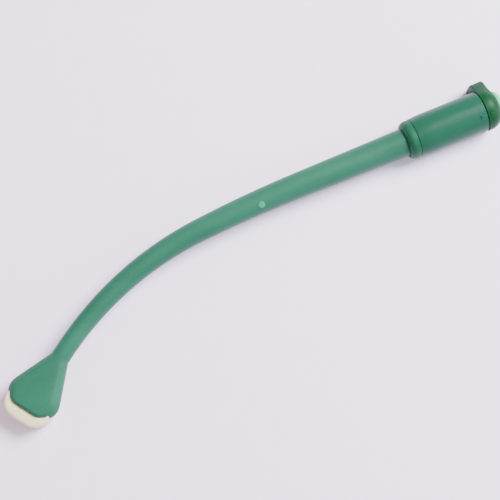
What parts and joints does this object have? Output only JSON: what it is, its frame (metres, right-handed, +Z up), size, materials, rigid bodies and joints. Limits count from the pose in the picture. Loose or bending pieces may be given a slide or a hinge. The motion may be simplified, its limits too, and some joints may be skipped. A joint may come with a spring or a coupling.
{
  "type": "laryngoscope",
  "caption": "Slender curved lighted wand with a flared, soft-edged head, a round battery hub, a bayonet end cap with a thumb foot and a push button.",
  "frame": {"origin": "bottom centre of the bounding box, at the level of the surface that the wand lies on", "axes": "+X along the hub's axis, from the head towards the push button; +Z up, square to the plane that the stem bends in; the head bends towards -Y"},
  "size_m": [0.253, 0.0682, 0.019],
  "materials": {
    "stem_plastic": "satin moulded green plastic",
    "nose_plastic": "darker green moulded plastic",
    "barrel_plastic": "glossier moulded green plastic",
    "cap_plastic": "dark green moulded plastic",
    "button_plastic": "light green translucent plastic",
    "window_plastic": "pale green light pip",
    "tip_silicone": "translucent cream silicone",
    "clear_acrylic": "polished clear acrylic",
    "grommet_foam": "black silicone",
    "ferrule_metal": "turned aluminium",
    "white_plastic": "white moulded plastic",
    "led_body": "white ceramic with yellow phosphor dome",
    "board_laminate": "green solder-masked laminate",
    "resistor_ceramic": "black chip resistors",
    "brass_contact": "stamped brass",
    "spring_steel": "spring wire",
    "cell_steel": "nickel-plated steel",
    "cell_gasket": "nylon gasket",
    "seal_rubber": "black rubber gasket",
    "black_plastic": "black moulded plastic"
  },
  "bodies": {
    "wand": {"stem_upper_shell": "stem_plastic", "stem_lower_shell": "stem_plastic", "light_guide": "clear_acrylic", "light_spreader": "clear_acrylic", "guide_grommets": "grommet_foam", "guide_ferrule": "ferrule_metal", "glow_window": "window_plastic", "soft_tip": "tip_silicone", "nose_ring": "nose_plastic", "barrel": "barrel_plastic", "lens_holder": "white_plastic", "collimator_lens": "clear_acrylic", "led_package": "led_body", "circuit_board": "board_laminate", "board_resistors": "resistor_ceramic", "front_contact": "brass_contact", "cell_sleeve": "white_plastic", "return_strip": "brass_contact", "cell_cans": "cell_steel", "cell_gaskets": "cell_gasket", "cell_caps": "cell_steel", "earth_ring": "brass_contact"},
    "cap": {"end_cap": "cap_plastic", "cap_gasket": "seal_rubber", "cap_contact": "brass_contact", "cell_spring": "spring_steel", "contact_plate": "brass_contact", "switch_housing": "black_plastic", "switch_dome": "spring_steel", "button_spring": "spring_steel"},
    "button": {"switch_plunger": "white_plastic", "push_button": "button_plastic"}
  },
  "joints": [
    {"name": "cap_turn", "type": "hinge", "parent": "wand", "child": "cap", "pos_m": [0.11826, 0.02091, 0.0095], "axis": [1, 0, 0], "range_deg": [0, 75]},
    {"name": "button_press", "type": "slide", "parent": "cap", "child": "button", "axis": [-1, 0, 0], "range_m": [0, 0.0015], "stiffness_N_per_m": 400, "springref_m": -0.0008, "deforming": ["button_spring"]}
  ]
}
